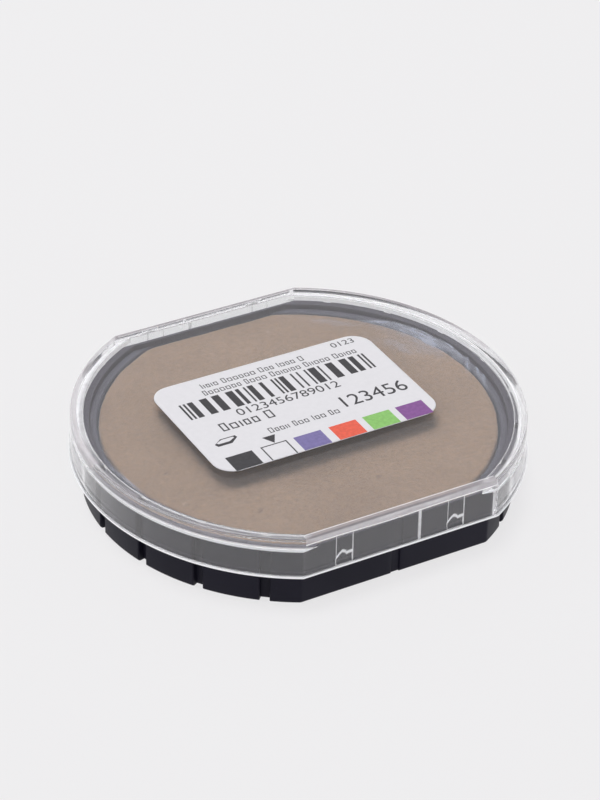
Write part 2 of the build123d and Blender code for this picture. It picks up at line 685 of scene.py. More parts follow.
@dataclass(frozen=True)
class Felt:
    """Dense fine felt: cloudy colour, fibres, a few dark and pale specks, and sheen."""

    name: str
    dark: Colour
    light: Colour
    cloud_waves: float = 95.0
    speck_waves: float = 620.0
    fibre_waves: float = 2600.0
    cross_waves: float = 2300.0
    fibre_share: float = 0.16
    fibre_depth: float = 0.05 * MM

    def build(self) -> bpy.types.Material:
        """Clouds and fibres in the colour, specks over them, and a fibre bump.

        Returns:
            The material.
        """
        material, tree, shader = new_material(self.name)
        clouds = noise(tree, self.cloud_waves, 5.0)
        colour = ramp(tree, clouds, ((0.32, self.dark), (0.68, self.light)))
        fibres = noise(tree, self.fibre_waves, 6.0, (1.0, 0.7, 1.0))
        cross = noise(tree, self.cross_waves, 6.0, (0.7, 1.0, 1.0))
        for pattern in (fibres, cross):
            shade = ramp(tree, pattern, ((0.3, (0.1, 0.1, 0.1)), (0.7, (0.9, 0.9, 0.9))))
            colour = mixed(tree, self.fibre_share, colour, shade, "OVERLAY")
        specks = noise(tree, self.speck_waves, 2.0)
        for stops, kind in ((((0.24, (0.7, 0.68, 0.66)), (0.28, (1, 1, 1))), "MULTIPLY"),
                            (((0.735, (0, 0, 0)), (0.78, (0.1, 0.095, 0.09))), "ADD")):
            colour = mixed(tree, 1.0, colour, ramp(tree, specks, stops), kind)
        tree.links.new(colour, shader.inputs["Base Color"])
        shader.inputs["Roughness"].default_value = 0.95
        shader.inputs["Specular IOR Level"].default_value = 0.15
        shader.inputs["Sheen Weight"].default_value = 0.25
        shader.inputs["Sheen Roughness"].default_value = 0.6
        coarse = bumped(tree, fibres, self.fibre_depth)
        tree.links.new(bumped(tree, cross, self.fibre_depth, coarse), shader.inputs["Normal"])
        return material


@dataclass(frozen=True)
class LabelPaper:
    """Smooth white label paper with faint fibres."""

    dark: Colour = (0.812, 0.806, 0.832)
    light: Colour = (0.842, 0.834, 0.862)
    fibre_waves: float = 1700.0
    fibre_depth: float = 0.006 * MM

    def build(self) -> bpy.types.Material:
        """Faint clouds and fibres, with a soft gloss.

        Returns:
            The material.
        """
        material, tree, shader = new_material("label_paper_white")
        fibres = noise(tree, self.fibre_waves, 5.0)
        tree.links.new(ramp(tree, fibres, ((0.3, self.dark), (0.7, self.light))),
                       shader.inputs["Base Color"])
        tree.links.new(scaled(tree, fibres, 0.42, 0.6), shader.inputs["Roughness"])
        tree.links.new(bumped(tree, fibres, self.fibre_depth), shader.inputs["Normal"])
        return material


@dataclass(frozen=True)
class PrintInk:
    """A flat printed ink, slightly uneven where the paper shows through."""

    ink: Ink
    colour: Colour
    wear_waves: float = 2400.0

    def build(self) -> bpy.types.Material:
        """The ink's colour with a fine unevenness.

        Returns:
            The material.
        """
        material, tree, shader = new_material(f"ink_{self.ink.value}")
        wear = noise(tree, self.wear_waves)
        paler = tuple(min(1.0, 1.22 * c + 0.01) for c in self.colour)
        tree.links.new(ramp(tree, wear, ((0.35, self.colour), (0.75, paler))),
                       shader.inputs["Base Color"])
        tree.links.new(scaled(tree, wear, 0.38, 0.5), shader.inputs["Roughness"])
        return material


INKS = (
    PrintInk(Ink.BLACK, (0.045, 0.043, 0.048)),
    PrintInk(Ink.VIOLET, (0.20, 0.17, 0.38)),
    PrintInk(Ink.RED, (0.80, 0.12, 0.07)),
    PrintInk(Ink.GREEN, (0.26, 0.55, 0.15)),
    PrintInk(Ink.PURPLE, (0.24, 0.09, 0.30)),
)


# ---------------------------------------------------------------------------- tray
@dataclass
class BaseTray:
    """The black moulded tray: grooved wall, rounded rim, shelf, pocket and ribbed underside.

    Sizes not read from the frame are fields, in metres. Each groove has soft lips, groove_lip
    wide, and steep sides. The grooves keep a share of their depth up to the top of the rim.
    """

    corner: float = 0.7 * MM
    least_corner: float = 0.15 * MM
    foot_edge: float = 0.33 * MM
    rim_edge: float = 0.2 * MM
    side_wall: float = 0.45 * MM
    rim_width: float = 1.1 * MM
    shelf_width: float = 0.8 * MM
    pocket_corner: float = 4.0 * MM
    floor: float = 1.3 * MM
    groove_width: float = 1.05 * MM
    groove_depth: float = 0.7 * MM
    groove_lip: float = 0.12 * MM
    groove_side: float = 0.02 * MM
    groove_at_rim: float = 0.4
    flat_groove_depth: float = 0.22 * MM
    groove_pitch: float = math.radians(17.5)
    grooves_per_side: int = 7
    resting_ring: float = 3.4 * MM
    recess_depth: float = 0.45 * MM
    rib_width: float = 0.8 * MM
    rib_edge: float = 0.08 * MM
    rib_root: float = 0.1 * MM
    rib_count: int = 4
    soft_edge: float = 0.1 * MM
    radius: float = field(init=False)
    half_width: float = field(init=False)
    height: float = field(init=False)
    pad_top: float = field(init=False)

    def __post_init__(self) -> None:
        """Read the overall sizes from the frame."""
        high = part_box("base_tray")[1]
        self.half_width = high.y
        self.height = high.z
        self.radius = math.hypot(high.x, self.groove_width / 2)
        self.pad_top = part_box("pad_face")[1].z

    def groove_profile(self) -> tuple[np.ndarray, np.ndarray]:
        """A groove's shape across its width.

        Returns:
            Distances from its middle, and the share of its depth at each.
        """
        half, lip, side = self.groove_width / 2, self.groove_lip, self.groove_side
        right = np.array([half - side, half + side, half + lip])
        share = np.array([1.0, 0.16, 0.0])
        return np.concatenate([-right[::-1], right]), np.concatenate([share[::-1], share])

    def groove_angles(self) -> np.ndarray:
        """The angles of the grooves on one round side, from its middle."""
        middle = (self.grooves_per_side - 1) / 2
        return (np.arange(self.grooves_per_side) - middle) * self.groove_pitch

    def groove_depths(self, stations: Stations, outline: Outline) -> np.ndarray:
        """How deep the grooves are: a fan on each round side and one in the middle of each flat.

        Args:
            stations: Where a ring has its points.
            outline: The tray's outline.

        Returns:
            One depth for each point, none in the corners.
        """
        across, share = self.groove_profile()
        around = stations.arc * outline.half_angle() * self.radius
        fan = sum(np.interp(around, angle * self.radius + across, share)
                  for angle in self.groove_angles())
        middle = np.interp(stations.flat * outline.middle_of_corner()[0], across, share)
        none = np.zeros(len(stations.corner))
        return np.concatenate([self.groove_depth * fan, none,
                               self.flat_groove_depth * middle, none] * 2)

    def outer_rings(self, grooves: np.ndarray) -> list[Ring]:
        """The rings from the underside's recess, over the foot and up to the top of the rim.

        Args:
            grooves: How deep the grooves are at each point.

        Returns:
            The rings in order.
        """
        def ring(inset: float, height: float, grooved: float = 1.0, flat_share: float = 1.0,
                 scuff_and_highlight: float = 0.0) -> Ring:
            """The tray's outline moved inwards, with a share of the grooves' depth.

            Args:
                inset: How far a round side is moved.
                height: The ring's height.
                grooved: The share of the grooves' depth.
                flat_share: How far a flat is moved, as a share of the inset.
                scuff_and_highlight: How much the painted sheen lightens the surface there.

            Returns:
                The ring.
            """
            shape = Outline(self.radius - inset, self.half_width - inset * flat_share,
                            max(self.corner - inset, self.least_corner))
            return Ring(shape, height, np.maximum(grooves * grooved - inset * 0.5, 0), scuff_and_highlight=scuff_and_highlight)

        step, bevel = self.soft_edge, 0.06 * MM
        rings = [ring(self.resting_ring + step, self.recess_depth, 0.0),
                 ring(self.resting_ring, self.recess_depth - step / 2, 0.0),
                 ring(self.resting_ring, bevel, 0.0),
                 ring(self.resting_ring - bevel, 0.0, 0.0)]
        for angle in quarter_turn(6):
            rings.append(ring(self.foot_edge * (1 - math.sin(angle)),
                              self.foot_edge * (1 - math.cos(angle))))
        # the outer rim's rounding is lightened by the painted sheen, most at its top
        for angle in quarter_turn(6):
            rings.append(ring(self.rim_edge * (1 - math.cos(angle)),
                              self.height - self.rim_edge * (1 - math.sin(angle)),
                              1.0 - (1.0 - self.groove_at_rim) * math.sin(angle), 0.8,
                              math.sin(angle) ** 3))
        return rings

    def inner_rings(self) -> list[Ring]:
        """The rings from inside the rim, over the shelf and down to the floor of the pocket.

        Returns:
            The rings in order.
        """
        flat = self.half_width - self.side_wall
        rim = self.radius - self.rim_width
        pocket = rim - self.shelf_width
        soft, slip = self.soft_edge, 0.02 * MM
        # every ring inside the rim carries the full painted sheen
        return [Ring(Outline(radius, half, corner), height, scuff_and_highlight=1.0)
                for radius, half, corner, height in (
                    (rim + soft, flat + soft, self.corner, self.height),
                    (rim + 0.3 * soft, flat + 0.3 * soft, self.corner, self.height - 0.3 * soft),
                    (rim, flat, self.corner, self.height - soft),
                    (rim, flat, self.corner, self.pad_top + soft / 2),
                    (rim - soft / 2, flat - slip, self.corner, self.pad_top),
                    (pocket + soft, flat - slip, self.pocket_corner, self.pad_top),
                    (pocket, flat - 2 * slip, self.pocket_corner, self.pad_top - soft),
                    (pocket, flat - 2 * slip, self.pocket_corner, self.floor))]

    def build(self) -> bpy.types.Object:
        """Loft the tray from the middle of its underside, out, up and into its pocket.

        Returns:
            The tray.
        """
        outline = Outline(self.radius, self.half_width, self.corner)
        across = self.groove_profile()[0]
        knots = (self.groove_angles()[:, None] + across[None] / self.radius).ravel()
        stations = make_stations(141, 41, 6, tuple(knots / outline.half_angle()),
                                 tuple(across / outline.middle_of_corner()[0]))
        rings = self.outer_rings(self.groove_depths(stations, outline)) + self.inner_rings()
        tray = lofted_shell("base_tray_moulding", rings, stations)
        self.add_ribs(tray)
        tray.data.materials.append(MouldedBlack().build())
        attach(tray, Body.TRAY.value)
        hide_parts("base_tray")
        LOG.info("tray: %d faces", len(tray.data.polygons))
        return tray

    def add_ribs(self, tray: bpy.types.Object) -> None:
        """Add the stiffening ribs across the recess under the tray, as bars with chamfered feet.

        A bar's length is the chord of the recess where it stands, or the recess's width if shorter.

        Args:
            tray: The tray, whose mesh they are added to.
        """
        pitch = 2 * self.radius / (self.rib_count + 1)
        places = (np.arange(self.rib_count) - (self.rib_count - 1) / 2) * pitch
        inner = self.radius - self.resting_ring
        half_flat = self.half_width - self.resting_ring
        reach = np.minimum(np.sqrt(inner**2 - places**2), half_flat) + 2 * self.rib_root
        half, bevel = self.rib_width / 2, self.rib_edge
        root = self.recess_depth + self.rib_root
        profile = ((-half, root), (-half, bevel), (-half + bevel, 0.0),
                   (half - bevel, 0.0), (half, bevel), (half, root))
        work = bmesh.new()
        work.from_mesh(tray.data)
        for place, length in zip(places, reach):
            ends = [[work.verts.new((place + x, y, z)) for x, z in profile]
                    for y in (-length, length)]
            for k in range(len(profile)):
                after = (k + 1) % len(profile)
                work.faces.new((ends[0][k], ends[1][k], ends[1][after], ends[0][after]))
            work.faces.new(ends[0])
            work.faces.new(ends[1][::-1])
        bmesh.ops.recalc_face_normals(work, faces=work.faces)
        work.to_mesh(tray.data)
        work.free()


# ---------------------------------------------------------------------------- pad
@dataclass
class FeltPad:
    """The felt reservoir and the fine felt face that lies on it.

    The cut edge wanders in long waves and is fuzzy in short ones. The top is uneven in the same
    two ways. Each height has the width of its waves beside it.
    """

    corner: float = 4.0 * MM
    cut_margin: float = 0.09 * MM
    cut_wander: float = 0.072 * MM
    wander_width: float = 4.0 * MM
    fuzz: float = 0.03 * MM
    fuzz_width: float = 0.5 * MM
    edge: float = 0.28 * MM
    edge_steps: int = 4
    unevenness: float = 0.035 * MM
    dip_width: float = 6.0 * MM
    nap_share: float = 0.35
    nap_width: float = 0.6 * MM
    rings_across: int = 64
    face: Felt = Felt("felt_face_fine", (0.196, 0.119, 0.0625), (0.242, 0.151, 0.085))
    core: Felt = Felt("felt_core_dense", (0.32, 0.27, 0.22), (0.42, 0.36, 0.30))

    def layer(self, name: str, node: str, felt: Felt, seed: int) -> bpy.types.Object:
        """One felt layer: a polar grid over the node's outline, with a wandering cut edge.

        The top is the outline shrunk towards the middle in even shares, raised by two scales of
        smooth noise, and its edge drops by a quarter round. The sides follow the wandering cut.

        Args:
            name: The piece's name.
            node: The CAD node that it stands for.
            felt: Its finish.
            seed: Which noise.

        Returns:
            The layer as one closed piece.
        """
        low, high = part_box(node)
        outline = Outline(high.x - self.cut_margin, high.y - self.cut_margin, self.corner)
        stations = make_stations(221, 91, 24)
        cut = outline.points(stations)
        cut = pushed_out(cut, self.cut_wander * edge_noise(cut, self.wander_width, seed)
                         + self.fuzz * edge_noise(cut, self.fuzz_width, seed + 1))
        inset = self.edge / high.x
        turn = quarter_turn(self.edge_steps + 1)[:-1]
        shares = np.concatenate([np.linspace(0.03, 1 - 1.5 * inset, self.rings_across),
                                 1 - inset * (1 - np.sin(turn))])
        drops = np.concatenate([np.zeros(self.rings_across), self.edge * (1 - np.cos(turn))])
        flat = shares[:, None, None] * cut[None]
        x, y = flat[..., 0], flat[..., 1]
        swell = (value_noise(x + 0.1, y + 0.1, self.dip_width, seed)
                 + self.nap_share * value_noise(x, y, self.nap_width, seed))
        top = high.z - drops[:, None] + self.unevenness * (0.7 * swell - 1)
        sides = np.array([high.z - self.edge, (high.z + low.z) / 2, low.z])
        walls = np.stack([np.column_stack([cut, np.full(len(cut), z)]) for z in sides])
        rows = np.concatenate([np.dstack([flat, top]), walls])
        piece = mesh_piece(name, rows.reshape(-1, 3), capped_grid(len(rows), stations.count))
        piece.data.materials.append(felt.build())
        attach(piece, Body.TRAY.value)
        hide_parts(node)
        LOG.info("%s: %d faces", name, len(piece.data.polygons))
        return piece

    def build(self) -> None:
        """Make both layers."""
        self.layer("felt_reservoir", "pad_core", self.core, 11)
        self.layer("felt_face", "pad_face", self.face, 23)


@dataclass(frozen=True)
class Crease:
    """One fold in the film.

    Attributes:
        angle: The direction in which it lies from the middle, in degrees from +X.
        distance: How far from the middle it lies.
        heading: The direction in which it runs, in degrees from +X.
        length: The distance along it at which it has fallen to a third.
        width: The distance across it at which it has fallen to a third.
        height: How high it stands.
    """

    angle: float
    distance: float
    heading: float
    length: float
    width: float
    height: float


@dataclass
class SeparatorFilm:
    """The loose clear film on the pad, creased where the cover caught it.

    Its edge is cut edge_inset inside the node's, and wanders. Its ripples are low and wide, no
    crease stands higher than headroom, and a crease lower than full_haze is less hazy. The haze is
    also a painted reflection, standing in for the blue-grey light the creases catch. Its streaks
    are noise in which a radian around the pad is streak_reach long, and radii are stretched by
    streak_stretch.
    """

    corner: float = 4.0 * MM
    edge_inset: float = 0.15 * MM
    edge_wander: float = 0.12 * MM
    wander_width: float = 3.0 * MM
    ripple: float = 0.02 * MM
    ripple_width: float = 5.0 * MM
    headroom: float = 0.6 * MM
    full_haze: float = 0.3 * MM
    streak_width: float = 0.9 * MM
    streak_reach: float = 18 * MM
    streak_stretch: float = 3.2
    rings_across: int = 90
    creases: tuple[Crease, ...] = (
        Crease(34, 21.9 * MM, 132, 2.2 * MM, 0.40 * MM, 0.30 * MM),
        Crease(29, 21.9 * MM, 121, 2.6 * MM, 1.00 * MM, 0.42 * MM),
        Crease(20, 22.0 * MM, 111, 3.9 * MM, 1.45 * MM, 0.45 * MM),
        Crease(23, 19.2 * MM, 121, 2.6 * MM, 0.95 * MM, 0.14 * MM),
        Crease(9, 22.6 * MM, 99, 3.0 * MM, 0.60 * MM, 0.40 * MM),
        Crease(2, 22.6 * MM, 62, 1.9 * MM, 0.26 * MM, 0.36 * MM),
        Crease(-3, 22.7 * MM, 70, 1.7 * MM, 0.20 * MM, 0.34 * MM),
        Crease(-7, 22.7 * MM, 66, 2.0 * MM, 0.26 * MM, 0.30 * MM),
        Crease(49, 20.4 * MM, 142, 2.4 * MM, 0.40 * MM, 0.20 * MM),
        Crease(187, 22.4 * MM, 280, 3.6 * MM, 0.24 * MM, 0.24 * MM),
        Crease(199, 22.5 * MM, 292, 2.8 * MM, 0.20 * MM, 0.22 * MM),
        Crease(211, 22.6 * MM, 303, 3.0 * MM, 0.18 * MM, 0.20 * MM),
        Crease(223, 22.6 * MM, 312, 2.6 * MM, 0.16 * MM, 0.18 * MM),
    )

    def folded(self, x: np.ndarray, y: np.ndarray) -> tuple[np.ndarray, np.ndarray]:
        """How high the creases lift the film, and how much haze and painted reflection they give it.

        A crease is a bell: its height times e to the power of minus the sum of the squares of the
        distance across it over its width and the distance along it over its length. It snakes a
        little. The haze and painted reflection is the largest bell, broken into streaks that run
        around the pad.

        Args:
            x: Places along X.
            y: Places along Y.

        Returns:
            The lift in metres, and the haze and painted reflection from 0 to 1.
        """
        lift, haze_and_painted_light = np.zeros_like(x), np.zeros_like(x)
        for crease in self.creases:
            at, heading = math.radians(crease.angle), math.radians(crease.heading)
            dx, dy = x - crease.distance * math.cos(at), y - crease.distance * math.sin(at)
            along = dx * math.cos(heading) + dy * math.sin(heading)
            across = -dx * math.sin(heading) + dy * math.cos(heading)
            across = across + 0.25 * crease.width * np.sin(along / (0.35 * crease.length))
            bell = np.exp(-(across / crease.width) ** 2 - (along / crease.length) ** 2)
            lift = lift + crease.height * bell
            haze_and_painted_light = np.maximum(haze_and_painted_light, bell * min(1.0, crease.height / self.full_haze))
        radius, turn = np.hypot(x, y), np.arctan2(y, x)
        streak = value_noise(self.streak_stretch * radius + 0.1, self.streak_reach * turn + 0.1,
                             self.streak_width, 8)
        return lift, haze_and_painted_light * np.clip(0.8 + 0.6 * streak, 0, 1)

    def build(self) -> bpy.types.Object:
        """A polar sheet over the pad, rippled, and lifted along its creases.

        Returns:
            The film.
        """
        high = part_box("separator_film")[1]
        stations = make_stations(181, 61, 18)
        edge = Outline(high.x, high.y, self.corner).points(stations)
        edge = pushed_out(edge, self.edge_wander * edge_noise(edge, self.wander_width, 5)
                          - self.edge_inset)
        shares = np.linspace(0.02, 1.0, self.rings_across) ** 0.75
        flat = shares[:, None, None] * edge[None]
        x, y = flat[..., 0], flat[..., 1]
        ridges, haze_and_painted_light = self.folded(x, y)
        ripples = self.ripple * (value_noise(x + 0.1, y + 0.1, self.ripple_width, 3) + 1)
        height = high.z + np.minimum(ripples + ridges, self.headroom)
        faces = grid_faces(self.rings_across, stations.count) + [row_face(0, stations.count)]
        film = mesh_piece("clear_separator_film", np.dstack([flat, height]).reshape(-1, 3), faces,
                          {"crease": haze_and_painted_light})
        film.data.materials.append(ThinFilm().build())
        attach(film, Body.TRAY.value)
        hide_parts("separator_film")
        return film


# ---------------------------------------------------------------------------- cover
@dataclass
class ClearCover:
    """The clear cover: flange, drafted wall, plate, a seating ledge, snap clips and a rib.

    The ledge stands inside each round side only. The scuff_and_highlight attribute is 1 where an
    edge is scuffed white and glows with a painted highlight, the milk attribute is 1 where the
    plastic is cloudy, and both are 0 where it is clear. The back half is cloudier than the front,
    which paints it lighter as if it caught more light. The fields that end in milk, painted_light,
    scuff_and_glow or ledge are such shares. top_bands are the rings around the plate's top: how far
    inside its rounded edge in mm, how scuffed and glowing on the flats, and how cloudy.
    ceiling_turn is the part of the ceiling's rounded edge that is scuffed and glows.
    """

    wall: float = 0.75 * MM
    plate: float = 0.98 * MM
    draft: float = math.radians(1.2)
    corner: float = 0.45 * MM
    least_corner: float = 0.12 * MM
    flange_height: float = 0.26 * MM
    flange_proud: float = 0.2 * MM
    edge: float = 0.3 * MM
    ledge_radius: float = 23.9 * MM
    ledge_clearance: float = 0.07 * MM
    ceiling_edge: float = 0.25 * MM
    clip_place: float = 6.83 * MM
    clip_half: float = 1.0 * MM
    clip_panel: float = 0.08 * MM
    bump_depth: float = 0.22 * MM
    bump_slope: float = 0.16 * MM
    rib_place: float = 2.35 * MM
    rib_half: float = 0.15 * MM
    rib_depth: float = 0.14 * MM
    side: float = 0.02 * MM
    foot_slope: float = 0.3 * MM
    strip_height: float = 0.27 * MM
    strip_milk: float = 0.5
    strip_scuff_and_glow: float = 0.85
    # more milk at the back than the front: real haze, with a painted lightening of the back
    back_milk_and_painted_light: float = 0.50
    front_milk: float = 0.24
    patch_width: float = 3.1 * MM
    wall_milk: float = 0.04
    top_bands: tuple[tuple[float, float, float], ...] = (
        (3.0, 0, 0), (0.8, 0, 0), (0.42, 0, 0), (0.37, 0.5, 1), (0.28, 0.5, 1), (0.23, 0, 1),
        (0.05, 0, 1))
    front_ledge: float = 0.06
    back_ledge: float = 0.45
    back_fade: float = 6.0 * MM
    end_ledge: float = 0.5
    end_fade: float = 2.0 * MM
    corner_reach: float = 0.12 * MM
    seat_line: float = 0.26 * MM
    clip_scuff_and_glow: float = 0.6
    arch_scuff_and_glow: float = 0.95
    rib_scuff_and_glow: float = 0.75
    corner_scuff_and_glow: float = 0.55
    ceiling_scuff_and_glow: float = 0.7
    ceiling_turn: tuple[float, float] = (math.radians(40), math.radians(63))
    thin_line: float = 0.04 * MM
    arch_line: float = 0.15 * MM
    bend: float = 0.1 * MM
    sink: float = 0.13 * MM
    sink_place: float = -1.5 * MM
    sink_width: float = 4.0 * MM
    arch_places: tuple[float, ...] = (-1, -0.6, -0.25, 0.1, 0.3, 0.6, 1)
    arch_heights: tuple[float, ...] = (0.88, 1.33, 1.63, 1.48, 1.22, 1.28, 1.28)
    mouth: float = field(init=False)
    top: float = field(init=False)
    radius: float = field(init=False)
    half_width: float = field(init=False)
    ledge_bottom: float = field(init=False)

    def __post_init__(self) -> None:
        """Read the overall sizes from the frame: the flange is the widest part."""
        low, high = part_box("cover")
        self.mouth, self.top = low.z, high.z
        self.radius = high.x - self.flange_proud
        self.half_width = high.y - self.flange_proud / 2
        self.ledge_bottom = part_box("base_tray")[1].z + self.ledge_clearance

    @property
    def cavity(self) -> Outline:
        """The outline of the inner wall."""
        return Outline(self.radius - self.wall, self.half_width - self.wall, self.corner)

    @property
    def ledge_end(self) -> float:
        """Where the ledge's circle meets the inner face of a flat, from the middle."""
        return math.sqrt(self.ledge_radius**2 - self.cavity.half_width**2)

    @property
    def foot(self) -> float:
        """The height of the lower end of the clips and the rib."""
        return self.mouth + 0.02 * MM

    def stations(self) -> Stations:
        """Stations with knots at the ends of the ledge and across the clips and the rib.

        Returns:
            The stations of every ring of the cover.
        """
        reach = self.cavity.middle_of_corner()[0]
        steps = np.array([-1, 1, 5]) * self.side
        clip_edge, rib_edge = self.clip_half + steps, self.rib_half + steps
        clip = np.concatenate([np.linspace(-0.9, 0.9, 13) * self.clip_half, clip_edge, -clip_edge])
        rib = self.rib_place + np.concatenate([rib_edge, -rib_edge])
        places = np.concatenate([self.clip_place + clip, self.clip_place - clip, rib,
                                 [self.ledge_end, self.ledge_end - 2 * self.side]]) / reach
        return make_stations(181, 121, 8, (), tuple(np.concatenate([places, -places])))

    def arch(self, across: np.ndarray) -> np.ndarray:
        """The height of a clip's arched line, across the clip from -1 to 1."""
        return self.foot + MM * np.interp(across, self.arch_places, self.arch_heights)

    def relief(self, along: np.ndarray, height: float) -> np.ndarray:
        """How far the flat's inner face stands in at a height.

        A clip is a thin panel whose lower part is a bump under an arched line, and the rib is a
        narrow bar on one side of the middle.

        Args:
            along: Places along the flat, positive to the right of someone who faces it.
            height: The height.

        Returns:
            The relief, in metres.
        """
        total = np.zeros_like(along)
        for place in (-self.clip_place, self.clip_place):
            across = along - place
            inside = np.clip((self.clip_half - np.abs(across)) / (2 * self.side) + 0.5, 0, 1)
            bump = np.clip((self.arch(across / self.clip_half) - height) / self.bump_slope, 0, 1)
            total += inside * (self.clip_panel + (self.bump_depth - self.clip_panel) * bump)
        bar = self.rib_half - np.abs(along - self.rib_place)
        total = np.maximum(total, self.rib_depth * np.clip(bar / (2 * self.side) + 0.5, 0, 1))
        return total * min(1.0, max(0.0, (height - self.foot) / self.foot_slope))

    def scuff_and_glow_lines(self, along: np.ndarray, height: float) -> np.ndarray:
        """How scuffed and glowing the flat's inner face is: the clips' edges, their arched lines and
        the rib.

        Each is a line whose scuff and painted glow fade with the distance from its middle.

        Args:
            along: Places along the flat, positive to the right of someone who faces it.
            height: The height.

        Returns:
            A share from 0 to 1 at each place.
        """
        scuff_and_highlight = np.zeros_like(along)
        if not self.foot < height < self.top - self.plate:
            return scuff_and_highlight
        for place in (-self.clip_place, self.clip_place):
            across = along - place
            edge = np.abs(np.abs(across) - self.clip_half)
            scuff_and_highlight = np.maximum(scuff_and_highlight, self.clip_scuff_and_glow * np.clip(2 - edge / self.thin_line, 0, 1))
            away = np.abs(height + self.side - self.arch(across / self.clip_half))
            inside = np.abs(across) < self.clip_half
            line = np.clip(2 - away / self.arch_line, 0, 1)
            scuff_and_highlight = np.maximum(scuff_and_highlight, inside * self.arch_scuff_and_glow * line)
        bar = self.rib_half + self.side - np.abs(along - self.rib_place)
        return np.maximum(scuff_and_highlight, self.rib_scuff_and_glow * np.clip(bar / self.thin_line, 0, 1))

    def outer_rings(self, points: np.ndarray, on_flat: np.ndarray, sink: np.ndarray) -> list[Ring]:
        """The rings from the middle of the top, over its rounded edge and down to the mouth.

        Args:
            points: The inner wall's outline, as rows of x and y.
            on_flat: Which points of a ring are on a flat.
            sink: How far the pale line under the plate sinks at each point.

        Returns:
            The rings in order.
        """
        def drafted(height: float, inset: float = 0.0) -> Outline:
            """The wall's outline at a height, leaning in by the draft.

            Args:
                height: The height.
                inset: How far it is moved inwards as well.

            Returns:
                The outline.
            """
            lean = (height - self.mouth) * math.tan(self.draft) + inset
            return Outline(self.radius - lean, self.half_width - lean,
                           max(self.corner - lean * 0.5, self.least_corner))

        cloud = value_noise(points[:, 0], points[:, 1], self.patch_width, 29)
        patches = np.clip(0.75 + 0.7 * cloud, 0, 1.3)
        # the back half is cloudier than the front: real haze, with more of it at the back as painted
        # light
        haze_and_painted_light = np.where(on_flat, self.strip_milk, np.where(
            points[:, 1] > 0, self.back_milk_and_painted_light, self.front_milk * patches))
        rings = [Ring(drafted(self.top, self.edge + extra * MM), self.top, scuff_and_highlight=scuff_and_highlight * on_flat,
                      milk=cloudy * haze_and_painted_light)
                 for extra, scuff_and_highlight, cloudy in self.top_bands]
        for angle in quarter_turn(7)[::-1]:
            rings.append(Ring(drafted(self.top, self.edge * (1 - math.cos(angle))),
                              self.top - self.edge * (1 - math.sin(angle)), milk=haze_and_painted_light))
        strip = self.top - self.plate + self.strip_height
        for drop, scuff_and_highlight, milk in ((0, 0, haze_and_painted_light), (0.05 * MM, self.strip_scuff_and_glow, haze_and_painted_light),
                                 (0.15 * MM, self.strip_scuff_and_glow, self.wall_milk),
                                 (0.2 * MM, 0, self.wall_milk)):
            rings.append(Ring(drafted(strip - drop), strip - drop - sink, scuff_and_highlight=scuff_and_highlight * on_flat,
                              milk=milk))
        flange_top = self.mouth + self.flange_height
        rings += [Ring(drafted(height), height, milk=self.wall_milk)
                  for height in np.linspace(strip - 5 * self.bend, flange_top + self.bend, 9)]
        out, soft = self.flange_proud, self.bend / 2
        for proud, height, scuff_and_highlight in (
                (0.0, flange_top + soft, 0), (soft, flange_top, 0),
                (out - 0.04 * MM, flange_top, 0.3), (out, flange_top - 0.04 * MM, 1.0),
                (out, self.mouth + soft, 1.0), (out - 0.06 * MM, self.mouth, 0.6)):
            shape = Outline(self.radius + proud, self.half_width + proud * 0.5, self.corner)
            rings.append(Ring(shape, height, scuff_and_highlight=scuff_and_highlight))
        return rings

    def inner_rings(self, points: np.ndarray, along: np.ndarray, on_flat: np.ndarray,
                    sink: np.ndarray) -> list[Ring]:
        """The rings from the mouth up the inner wall, under the ledge and out over the ceiling.

        Args:
            points: The inner wall's outline, as rows of x and y.
            along: Each point's place along its flat, positive to the right of someone who faces it.
            on_flat: Which points are on a flat.
            sink: How far the ceiling's edge sinks at each point.

        Returns:
            The rings in order.
        """
        cavity, bend = self.cavity, self.bend
        ceiling = self.top - self.plate
        straight = ceiling - self.ceiling_edge
        by_ledge = ~on_flat | (np.abs(points[:, 0]) > self.ledge_end)
        # the ledge's scuff and painted glow grow towards the back
        far = np.clip(points[:, 1] / self.back_fade, 0, 1)
        ends = np.where(on_flat, self.end_ledge * (along > self.ledge_end),
                        self.front_ledge + self.back_ledge * far)
        past_end = (np.abs(along) - self.ledge_end) / self.end_fade
        seat = np.where(on_flat, np.clip(past_end, 0, 1), 1)
        by_flat = np.abs(points[:, 1]) > cavity.half_width - self.corner_reach
        corner = ~on_flat & by_flat & (along > 0)

        def wall_ring(height: float | np.ndarray, scuff_and_highlight: float | np.ndarray = 0.0,
                      within: float = math.inf) -> Ring:
            """A ring of the inner wall, with the flats' relief and scuffs.

            Args:
                height: Its height, one number or one for each point.
                scuff_and_highlight: How scuffed and glowing the round sides are.
                within: The radius that no point goes beyond.

            Returns:
                The ring.
            """
            level = float(np.min(height))
            relief = np.where(on_flat, self.relief(along, level), 0)
            scuff_and_glow = np.where(on_flat, self.scuff_and_glow_lines(along, level), 0)
            scuff_and_glow = np.where(corner & (level > self.foot), self.corner_scuff_and_glow, scuff_and_glow)
            return Ring(cavity, height, relief, within, np.maximum(scuff_and_glow, scuff_and_highlight * by_ledge))

